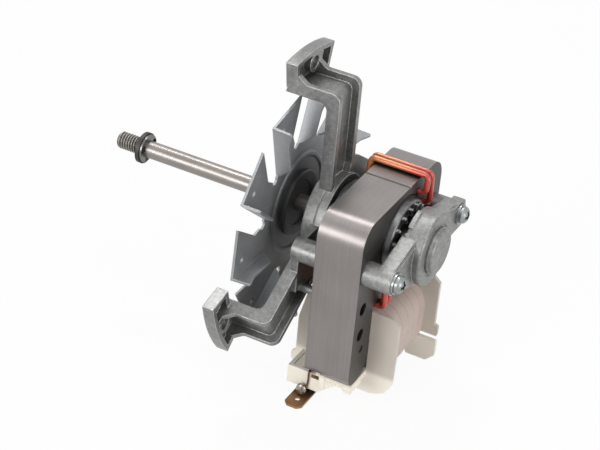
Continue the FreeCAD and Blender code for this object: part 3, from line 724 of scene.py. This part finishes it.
def closed_faces(rows: int, columns: int) -> Faces:
    """Faces of a grid whose last column joins its first, with flat faces on its end rows."""
    last = (rows - 1) * columns
    ends = [list(range(columns))[::-1], list(range(last, last + columns))]
    return grid_faces(rows, columns, wrap_rows=False) + ends


def mesh_piece(name: str, points: np.ndarray, faces: Faces,
               smooth: bool = True) -> bpy.types.Object:
    """Object at the origin with its place in its mesh.

    Args:
        name: Name of the piece.
        points: One row of x, y, z per vertex, in metres.
        faces: Vertex indices of each face.
        smooth: Whether the faces are shaded smooth.

    Returns:
        The new object. Its faces are turned over where the volume they enclose is below zero.
    """
    mesh = bpy.data.meshes.new(name)
    mesh.from_pydata(points.tolist(), [], faces)
    mesh.validate()
    mesh.update()
    mesh.polygons.foreach_set("use_smooth", np.full(len(mesh.polygons), smooth))
    solid = bmesh.new()
    solid.from_mesh(mesh)
    if solid.calc_volume(signed=True) < 0.0:
        mesh.flip_normals()
    solid.free()
    return new_object(name, mesh)


def turned_piece(name: str, r: np.ndarray, y: np.ndarray, a: np.ndarray) -> bpy.types.Object:
    """Closed piece turned round the shaft, smooth apart from its sharp edges.

    Args:
        name: Name of the piece.
        r: Radius at each point of its grid, with a row for each place along the shaft.
        y: Place along the shaft at each point.
        a: Angle round the shaft at each point.

    Returns:
        The new object, with the surface (r cos a, y, r sin a) and a flat face at either end.
    """
    points = np.stack([r * np.cos(a), y, r * np.sin(a)], axis=-1).reshape(-1, 3)
    piece = mesh_piece(name, points, closed_faces(*r.shape))
    piece.data.set_sharp_from_angle(angle=SHARP_ANGLE)
    return piece


def pair_piece(name: str, shape: Shape, softness: float = 0.0) -> bpy.types.Object:
    """One piece that holds a closed shape and its mirror image on the other side of the shaft.

    Args:
        name: Name of the piece.
        shape: Points and faces of the shape.
        softness: Width that its edges are rounded to, or 0 for a shape that is shaded smooth.

    Returns:
        The new object. The mirror image is (-x, y, z), with each face's corners in reverse.
    """
    points, faces = shape
    mirrored = points * np.array([-1.0, 1.0, 1.0])
    back = [[corner + len(points) for corner in face][::-1] for face in faces]
    piece = mesh_piece(name, np.concatenate([points, mirrored]), faces + back, softness == 0.0)
    if softness > 0.0:
        bevel = piece.modifiers.new("soft_edges", "BEVEL")
        bevel.width, bevel.segments = softness, 3
    return piece


def swollen_ball(swell: float, rows: int = 24, columns: int = 40) -> Shape:
    """Lumpy ball of about unit radius round the origin, with a tiny flat at its foot and top.

    Args:
        swell: Height of its lumps.
        rows: Rings from its foot to its top.
        columns: Points round each ring.

    Returns:
        Points (cos u cos v, sin u cos v, sin v) times 1 + swell sin(3 u + 1) cos(2 v), and faces.
    """
    nearly_half = 0.499
    heights = np.linspace(-nearly_half, nearly_half, rows) * math.pi
    v, u = np.meshgrid(heights, full_turn(columns), indexing="ij")
    ball = np.stack([np.cos(u) * np.cos(v), np.sin(u) * np.cos(v), np.sin(v)], axis=-1)
    points = ball * (1.0 + swell * np.sin(3.0 * u + 1.0) * np.cos(2.0 * v))[..., None]
    return points.reshape(-1, 3), closed_faces(rows, columns)


def slabs(spans: Sequence[Sequence[float]]) -> Shape:
    """Square-edged slabs.

    Args:
        spans: Low and high x, low and high y, low and high z of each slab, in millimetres.

    Returns:
        Points and faces. Corner k takes a high x, y or z where bit 0, 1 or 2 of k is 1.
    """
    limits = np.array(spans).reshape(-1, 3, 2) * MM
    bits = (np.arange(8)[:, None] >> np.arange(3)) & 1
    points = np.where(bits[None] == 1, limits[:, None, :, 1], limits[:, None, :, 0])
    sides = np.array([(0, 2, 3, 1), (4, 5, 7, 6), (0, 1, 5, 4),
                      (2, 6, 7, 3), (0, 4, 6, 2), (1, 3, 7, 5)])
    faces = sides[None] + 8 * np.arange(len(limits))[:, None, None]
    return points.reshape(-1, 3), faces.reshape(-1, 4).tolist()


def smooth_route(route: np.ndarray, rounds: int) -> np.ndarray:
    """Route with its corners cut.

    Args:
        route: One row of x, y, z per point.
        rounds: How many times the corners are cut.

    Returns:
        The longer route. Each round puts points at a quarter and three quarters of every run
        and keeps both ends.
    """
    for _ in range(rounds):
        near = 0.75 * route[:-1] + 0.25 * route[1:]
        far = 0.25 * route[:-1] + 0.75 * route[1:]
        cut = np.stack([near, far], axis=1).reshape(-1, 3)
        route = np.concatenate([route[:1], cut, route[-1:]])
    return route


def tube(route: np.ndarray, radius: float, sides: int) -> Shape:
    """Round wire along a route that runs mostly across the shaft.

    Args:
        route: One row of x, y, z per point.
        radius: Radius of the wire.
        sides: Points round it.

    Returns:
        Points p + r (s cos u + n sin u), with s across the run and the shaft's direction and n
        square to both s and the run, and faces.
    """
    run = np.gradient(route, axis=0)
    run /= np.linalg.norm(run, axis=1, keepdims=True)
    side = np.cross(run, np.array([0.0, 1.0, 0.0]))
    side /= np.linalg.norm(side, axis=1, keepdims=True)
    normal = np.cross(side, run)
    u = full_turn(sides)[None, :, None]
    points = route[:, None] + radius * (side[:, None] * np.cos(u) + normal[:, None] * np.sin(u))
    return points.reshape(-1, 3), closed_faces(len(route), sides)


# Sub-assemblies


@dataclass
class SubAssembly:
    """Pieces that belong together and ride on one body."""

    body: Body = Body.FRAME

    def build(self, wardrobe: Wardrobe) -> list[bpy.types.Object]:
        """Make or dress the pieces.

        Args:
            wardrobe: The finishes.

        Returns:
            The pieces.
        """
        raise NotImplementedError

    def hand_over(self, piece: bpy.types.Object, slot: str, wardrobe: Wardrobe) -> None:
        """Dress a new piece in the finish of one slot and attach it to its body."""
        wardrobe.dress(piece, slot)
        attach(piece, self.body.value)


@dataclass
class ShaftBar(SubAssembly):
    """Ground shaft with its clip grooves, thread relief and a real M6 thread."""

    body: Body = Body.ROTOR
    pitch: float = 1.0 * MM
    thread_depth: float = 0.54 * MM
    thread_rows: int = 24
    plain_rows: int = 60
    runout_turns: float = 0.5
    relief_width: float = 0.6 * MM
    relief_depth: float = 0.3 * MM
    groove_depth: float = 0.45 * MM
    clip_thickness: float = 0.8 * MM
    tip_chamfer: float = 0.8 * MM
    tail_chamfer: float = 0.5 * MM
    wall_step: float = 0.01 * MM
    sides: int = 72

    def outline(self) -> tuple[np.ndarray, np.ndarray, float]:
        """Places along the shaft, the radius at each, and where the thread begins."""
        low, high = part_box("shaft")
        radius = (high.x - low.x) / 2.0
        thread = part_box("seat_washer")[1].y
        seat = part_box("seat_washer")[0].y - self.clip_thickness
        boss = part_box("fan_hub")[1].y
        groove = (self.clip_thickness, self.groove_depth)
        relief = (self.relief_width, self.relief_depth)
        notches = [(boss, *groove), (seat, *groove), (thread, *relief)]
        stations = [(low.y, radius - self.tail_chamfer), (low.y + self.tail_chamfer, radius)]
        for start, width, depth in notches:
            stations += [(start, radius), (start + self.wall_step, radius - depth),
                         (start + width - self.wall_step, radius - depth), (start + width, radius)]
        stations += [(high.y - self.tip_chamfer, radius), (high.y, radius - self.tip_chamfer)]
        corners = np.array(stations)
        begin = thread + self.relief_width
        fine = np.arange(begin, high.y, self.pitch / self.thread_rows)
        plain = np.linspace(low.y, begin, self.plain_rows)
        places = np.unique(np.concatenate([corners[:, 0], fine, plain]))
        return places, np.interp(places, corners[:, 0], corners[:, 1]), begin

    def build(self, wardrobe: Wardrobe) -> list[bpy.types.Object]:
        """Make the piece that stands for the plain shaft.

        The surface is (r cos a, y, r sin a). Along the thread, which begins at b, r is the smaller
        of the outline and R - depth * (1 - cos(2 pi (y - b) / pitch + a)) / 2, which rounds the
        crests and the roots. The thread deepens from nothing over its runout.

        Args:
            wardrobe: The finishes.

        Returns:
            The piece.
        """
        places, outline, begin = self.outline()
        y, a = np.meshgrid(places, full_turn(self.sides), indexing="ij")
        wave = np.cos(2.0 * math.pi * (y - begin) / self.pitch + a)
        cut = self.thread_depth * (0.5 - 0.5 * wave)
        runout = np.clip((y - begin) / (self.runout_turns * self.pitch), 0.0, 1.0)
        threaded = outline.max() - cut * runout
        piece = turned_piece("threaded_shaft", np.minimum(outline[:, None], threaded), y, a)
        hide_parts("shaft")
        self.hand_over(piece, "ground_steel", wardrobe)
        return [piece]


@dataclass
class CoilWrap(SubAssembly):
    """Insulating tape wound over the coil in lapped turns."""

    turn_width: float = 4.5 * MM
    lap_rise: float = 0.24 * MM
    thickness: float = 0.5 * MM
    corner: float = 9.0 * MM
    arc_points: int = 20
    run_points: int = 14
    columns: int = 190

    def section(self) -> tuple[np.ndarray, np.ndarray, np.ndarray]:
        """Line round the coil with its outward directions and its running length.

        Returns:
            Points (y, z), unit outward directions, and lengths. Each corner is an arc
            c + r (cos t, sin t) over a quarter turn, and straight runs join the arcs.
        """
        low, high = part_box("coil_tape")
        r = self.corner
        centres = [(high.y - r, high.z - r), (low.y + r, high.z - r),
                   (low.y + r, low.z + r), (high.y - r, low.z + r)]
        points, outward = [], []
        for index, centre in enumerate(centres):
            t = np.linspace(index, index + 1, self.arc_points) * math.pi / 2.0
            ray = np.stack([np.cos(t), np.sin(t)], axis=-1)
            following = np.array(centres[(index + 1) % 4]) + r * ray[-1]
            points.append(np.array(centre) + r * ray)
            outward.append(ray)
            share = np.linspace(0.0, 1.0, self.run_points + 2)[1:-1, None]
            points.append(points[-1][-1] * (1.0 - share) + following * share)
            outward.append(np.repeat(ray[-1:], self.run_points, axis=0))
        line, rays = np.concatenate(points), np.concatenate(outward)
        steps = np.linalg.norm(np.diff(line, axis=0, prepend=line[-1:]), axis=1)
        return line, rays, np.cumsum(steps) - steps[0]

    def build(self, wardrobe: Wardrobe) -> list[bpy.types.Object]:
        """Make the piece that stands for the plain tape.

        At the distance x along the coil and s round it, f is the fraction of
        x / width + s / length. The surface is the section moved inwards by rise * (1 - f),
        and the inner skin lies inwards by rise + thickness.

        Args:
            wardrobe: The finishes.

        Returns:
            The piece.
        """
        low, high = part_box("coil_tape")
        line, rays, length = self.section()
        whole = length[-1] + np.linalg.norm(line[0] - line[-1])
        x = np.linspace(low.x, high.x, self.columns)
        s, across = np.meshgrid(length, x, indexing="ij")
        lap = (across - low.x) / self.turn_width + s / whole
        lift = self.lap_rise * (1.0 - np.mod(lap, 1.0))
        outer = line[:, None, :] - rays[:, None, :] * lift[..., None]
        inner = line[:, None, :] - rays[:, None, :] * (self.lap_rise + self.thickness)
        inner = np.broadcast_to(inner, outer.shape)
        yz = np.concatenate([outer, inner[:, ::-1]], axis=1)
        xs = np.concatenate([across, across[:, ::-1]], axis=1)
        points = np.concatenate([xs[..., None], yz], axis=-1)
        faces = grid_faces(*xs.shape, wrap_rows=True)
        piece = mesh_piece("coil_wrap", points.reshape(-1, 3), faces, smooth=False)
        self.lay_map(piece, np.concatenate([lap, lap[:, ::-1]], axis=1), s, whole)
        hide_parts("coil_tape")
        self.hand_over(piece, "coil_tape", wardrobe)
        return [piece]

    @staticmethod
    def lay_map(piece: bpy.types.Object, lap: np.ndarray, s: np.ndarray, whole: float) -> None:
        """Write the map named wrap: the turn number, and the distance round in millimetres.

        Args:
            piece: The tape.
            lap: Turn number at each of its points.
            s: Distance round the coil at each point of the outer skin.
            whole: Length of the way round.
        """
        mesh = piece.data
        corners = np.empty(len(mesh.loops), np.int64)
        mesh.loops.foreach_get("vertex_index", corners)
        round_mm = np.concatenate([s, s[:, ::-1]], axis=1) / MM
        values = np.stack([lap.ravel()[corners], round_mm.ravel()[corners]], axis=-1)
        starts = values.reshape(-1, 4, 2)
        wrapped = starts[..., 1].max(axis=1) - starts[..., 1].min(axis=1) > whole / MM / 2.0
        late = wrapped[:, None] & (starts[..., 1] < whole / MM / 2.0)
        starts[..., 1] += late * whole / MM
        starts[..., 0] += late * 1.0
        layer = mesh.uv_layers.new(name="wrap")
        layer.data.foreach_set("uv", starts.reshape(-1).astype(np.float32))


@dataclass
class Terminals(SubAssembly):
    """Solder beads, wire ends wrapped and soldered at the tabs, and carrier covers and relief.

    The route, outline, relief and turns are those of the left side, in millimetres.
    """

    bead_depth: float = 1.1 * MM
    bead_fill: float = 0.45
    bead_lumps: float = 0.1
    wrap_place: Triple = (-27.15 * MM, -24.1 * MM, -51.4 * MM)
    wrap_size: Triple = (1.15 * MM, 1.75 * MM, 2.2 * MM)
    wrap_pitch: float = 0.75 * MM
    wrap_lumps: float = 0.06
    wrap_waist: float = 0.92
    wrap_ridge: float = 0.14
    wire_radius: float = 0.32 * MM
    wire_sides: int = 14
    route_rounds: int = 3
    wire_route: tuple[Triple, ...] = (
        (-22.6, -25.6, -47.0), (-24.0, -25.8, -44.5), (-25.3, -25.9, -43.9), (-26.6, -26.0, -44.3),
        (-26.4, -26.0, -47.5), (-26.5, -25.7, -50.5), (-27.0, -24.8, -52.2))
    cover_outline: tuple[tuple[float, float], ...] = (
        (-17.25, -19.55), (-24.55, -19.55), (-24.55, -22.9),
        (-23.0, -22.9), (-23.0, -28.25), (-17.25, -28.25))
    cover_low: float = -46.0 * MM
    cover_high: float = -44.7 * MM
    cover_softness: float = 0.2 * MM
    relief: tuple[tuple[float, ...], ...] = (
        (-26.5, -25.9, -31.9, -29.8, -48.8, -43.45), (-26.5, -25.9, -38.5, -31.8, -44.1, -43.45),
        (-26.5, -25.9, -38.5, -31.8, -45.65, -45.1), (-26.5, -25.9, -41.25, -38.4, -46.0, -43.45),
        (-26.5, -18.5, -41.25, -38.4, -46.9, -45.6))
    wire_turns: tuple[tuple[float, ...], ...] = tuple(
        (-26.3, -25.9, -29.5, -26.8, low, high)
        for low, high in ((-45.15, -44.75), (-45.6, -45.2), (-46.05, -45.65)))
    relief_softness: float = 0.15 * MM

    def build(self, wardrobe: Wardrobe) -> list[bpy.types.Object]:
        """Make the beads, which stand for the plain ones, and the rest round the tabs.

        Args:
            wardrobe: The finishes.

        Returns:
            The new pieces.
        """
        route = smooth_route(np.array(self.wire_route) * MM, self.route_rounds)
        wire = tube(route, self.wire_radius, self.wire_sides)
        pieces = []
        for name, shape, softness, slot in (
                ("solder_beads", self.bead(), 0.0, "solder"),
                ("wire_wraps", self.wrap(), 0.0, "solder"),
                ("wire_ends", wire, 0.0, "terminal_brass"),
                ("carrier_covers", self.cover(), self.cover_softness, "bobbin_moulding"),
                ("carrier_relief", slabs(self.relief), self.relief_softness, "bobbin_moulding"),
                ("wire_turns", slabs(self.wire_turns), self.relief_softness, "terminal_brass")):
            piece = pair_piece(name, shape, softness)
            self.hand_over(piece, slot, wardrobe)
            pieces.append(piece)
        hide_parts("solder_joints")
        return pieces

    def bead(self) -> Shape:
        """Bead inside a pocket: a swollen ball scaled to the frame's bead and set in its place.

        Returns:
            Points and faces of the right one.
        """
        low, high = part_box("solder_joints")
        size = np.array([self.bead_depth, high.y - low.y, high.z - low.z]) * self.bead_fill
        middle = np.array([high.x - self.bead_depth / 2.0, (low.y + high.y) / 2.0,
                           (low.z + high.z) / 2.0])
        points, faces = swollen_ball(self.bead_lumps)
        return points * size + middle, faces

    def wrap(self) -> Shape:
        """Soldered wire turns that stand on the tab, against the carrier's wall.

        A swollen ball is scaled to the wrap, and x and y are multiplied by
        waist + ridge * |cos(pi z / pitch)|.

        Returns:
            Points and faces of the left one.
        """
        points, faces = swollen_ball(self.wrap_lumps)
        points = points * np.array(self.wrap_size)
        wave = np.abs(np.cos(math.pi * points[:, 2:] / self.wrap_pitch))
        ridge = self.wrap_waist + self.wrap_ridge * wave
        points = points * np.concatenate([ridge, ridge, np.ones_like(ridge)], axis=1)
        return points + np.array(self.wrap_place), faces

    def cover(self) -> Shape:
        """Plate between a pocket's walls, with a slot left open where the wire comes up.

        Returns:
            The outline at two heights, as points, and the faces of the left one.
        """
        outline = np.array(self.cover_outline) * MM
        count = len(outline)
        levels = np.repeat([self.cover_low, self.cover_high], count)[:, None]
        points = np.concatenate([np.tile(outline, (2, 1)), levels], axis=1)
        return points, closed_faces(2, count)


@dataclass
class RearBoss(SubAssembly):
    """Raised round boss in the middle of the rear bearing's cup."""

    radius: float = 7.6 * MM
    height: float = 1.2 * MM
    corner: float = 0.6 * MM
    root: float = 0.3 * MM
    overlap: float = 0.05 * MM
    sink: float = 0.15 * MM
    pinhole: float = 0.02 * MM
    arc_points: int = 9
    face_points: int = 20
    sides: int = 96

    def profile(self) -> tuple[np.ndarray, np.ndarray]:
        """Radius and place along the shaft, from the boss's root inside the cup to its middle.

        Returns:
            The root and the outer corner are quarters of a circle over the angle t, and the
            face sinks towards its middle by sink * (1 - r / R) squared.
        """
        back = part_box("rear_bracket")[0].y
        t = np.linspace(0.0, 1.0, self.arc_points) * math.pi / 2.0
        root_r = self.radius + self.root * (1.0 - np.sin(t))
        root_y = back + self.overlap - self.root * (1.0 - np.cos(t))
        corner_r = self.radius - self.corner * (1.0 - np.cos(t))
        corner_y = back - self.height + self.corner * (1.0 - np.sin(t))
        face_r = np.linspace(self.radius - self.corner, self.pinhole, self.face_points)[1:]
        face_y = back - self.height + self.sink * (1.0 - face_r / self.radius) ** 2
        return (np.concatenate([root_r, corner_r, face_r]),
                np.concatenate([root_y, corner_y, face_y]))

    def build(self, wardrobe: Wardrobe) -> list[bpy.types.Object]:
        """Turn the profile round the shaft, on the CAD cup's own low boss.

        Args:
            wardrobe: The finishes.

        Returns:
            The piece.
        """
        radius, place = self.profile()
        r, a = np.meshgrid(radius, full_turn(self.sides), indexing="ij")
        y = np.broadcast_to(place[:, None], r.shape)
        piece = turned_piece("rear_boss", r, y, a)
        self.hand_over(piece, "rear_casting", wardrobe)
        return [piece]


@dataclass
class CadPieces(SubAssembly):
    """The pieces whose CAD shape is right, and which only take their finish here."""

    slots: Mapping[str, str] = field(default_factory=lambda: {
        "frame_laminations": "stator_core coil_core",
        "rotor_laminations": "rotor_core",
        "cage_casting": "rotor_cage",
        "bobbin_moulding": "bobbin",
        "copper_winding": "coil_winding left_lead_wire right_lead_wire",
        "lacquered_copper": "shading_rings_upper shading_rings_lower",
        "front_casting": "front_bracket",
        "rear_casting": "rear_bracket",
        "sintered_bronze": "front_bearing rear_bearing",
        "spring_steel": "bearing_retainers retaining_clips thrust_washers",
        "felt": "oil_felts",
        "bright_zinc": "through_screws screw_washers",
        "terminal_brass": "left_spade_terminal right_spade_terminal",
        "spacer_steel": "front_spacer rear_spacer",
        "black_moulding": "fan_hub",
        "fan_sheet": "cooling_fan",
        "seat_steel": "seat_washer",
    })

    def build(self, wardrobe: Wardrobe) -> list[bpy.types.Object]:
        """Dress the CAD pieces, which are listed by slot.

        Args:
            wardrobe: The finishes.

        Returns:
            The dressed nodes.
        """
        worn = []
        for slot, names in self.slots.items():
            for node in (frame["nodes"][name] for name in names.split()):
                wardrobe.dress(node, slot)
                worn.append(node)
        return worn


# Studio


@dataclass
class Lamp:
    """One soft lamp: its place, size and power."""

    name: str
    place: Triple
    width: float
    height: float
    power: float

    def build(self, target: Vector) -> None:
        """Stand the lamp in its place, facing the target."""
        light = bpy.data.lights.new(self.name, "AREA")
        light.shape = "RECTANGLE"
        light.size, light.size_y = self.width, self.height
        light.energy = self.power
        holder = new_object(self.name, light)
        holder.location = self.place
        holder.rotation_mode = "QUATERNION"
        holder.rotation_quaternion = (target - holder.location).to_track_quat("-Z", "Y")


@dataclass
class Studio:
    """Camera, lamps, pale floor and white surroundings."""

    eye: Triple = (-0.45208, -0.22236, 0.31328)
    up: Triple = (0.4463, 0.3136, 0.8381)
    look: Triple = (0.7586, 0.3642, -0.5402)
    lens: float = 108.03
    sensor: float = 36.0
    clip: tuple[float, float] = (0.01, 20.0)
    sky_light: float = 0.35
    ground_light: float = 0.15
    floor_size: float = 6.0
    floor_gap: float = 0.5 * MM
    floor_grey: float = 0.8
    floor_fade: float = 0.93
    lamps: tuple[Lamp, ...] = (
        Lamp("key_lamp", (-0.8, 0.33, 0.28), 0.5, 0.35, 3.5),
        Lamp("top_lamp", (-0.15, -0.1, 0.88), 0.4, 0.3, 1.8),
        Lamp("line_lamp", (0.32, 0.31, 0.77), 0.25, 0.12, 2.2),
        Lamp("side_lamp", (-0.25, -0.8, 0.25), 0.4, 0.5, 2.6),
    )

    def build(self) -> None:
        """Set up everything round the motor."""
        self.camera()
        centre = (CAD_BOX[0] + CAD_BOX[1]) / 2.0
        for lamp in self.lamps:
            lamp.build(centre)
        self.surroundings()
        self.floor()
        bpy.context.scene.view_settings.view_transform = "Standard"

    def camera(self) -> None:
        """Camera with its three axes as columns: right, up, and back along the view."""
        lens = bpy.data.cameras.new("camera")
        lens.sensor_fit = "HORIZONTAL"
        lens.sensor_width = self.sensor
        lens.lens = self.lens
        lens.clip_start, lens.clip_end = self.clip
        holder = new_object("camera", lens)
        back = -Vector(self.look).normalized()
        up = (Vector(self.up) - Vector(self.up).dot(back) * back).normalized()
        axes = Matrix((up.cross(back), up, back)).transposed()
        holder.matrix_world = Matrix.Translation(self.eye) @ axes.to_4x4()
        bpy.context.scene.camera = holder

    def surroundings(self) -> None:
        """White where it is seen; as light, brighter overhead than towards the ground."""
        world = bpy.data.worlds.new("surroundings")
        bpy.context.scene.world = world
        sky = Graph(world)
        height = sky.make("ShaderNodeTexCoord", output="Generated").part(Axis.Z)
        seen = sky.seen_rays()
        light = height.ramp(-0.5, 0.9) * self.sky_light + self.ground_light
        strength = seen + (1.0 - seen) * light
        sockets = {"Color": WHITE, "Strength": strength}
        background = sky.make("ShaderNodeBackground", sockets=sockets)
        sky.make("ShaderNodeOutputWorld", sockets={"Surface": background})

    def floor(self) -> None:
        """Plain pale floor just below the motor, which fades to white for the camera."""
        half = self.floor_size / 2.0
        level = CAD_BOX[0].z - self.floor_gap
        corners = [(-half, -half, level), (half, -half, level), (half, half, level),
                   (-half, half, level)]
        mesh = bpy.data.meshes.new("floor")
        mesh.from_pydata(corners, [], [[0, 1, 2, 3]])
        plane = new_object("floor", mesh)
        graph = Paint("floor_paint")
        paint = graph.make("ShaderNodeBsdfDiffuse", sockets={"Color": (self.floor_grey,) * 3})
        glow = graph.make("ShaderNodeEmission", sockets={"Color": WHITE, "Strength": 1.0})
        share = graph.seen_rays() * self.floor_fade
        surface = graph.make("ShaderNodeMixShader", sockets={0: share, 1: paint, 2: glow})
        graph.make("ShaderNodeOutputMaterial", sockets={"Surface": surface})
        mesh.materials.append(graph.material)


def main() -> None:
    """Dress the motor and set up the studio."""
    logging.basicConfig(level=logging.INFO, format="%(name)s: %(message)s")
    wardrobe = Wardrobe()
    for assembly in (CadPieces(), ShaftBar(), CoilWrap(), Terminals(), RearBoss()):
        for piece in assembly.build(wardrobe):
            LOG.info("%s: %s", type(assembly).__name__, piece.name)
    Studio().build()


if __name__ == "__main__":
    main()
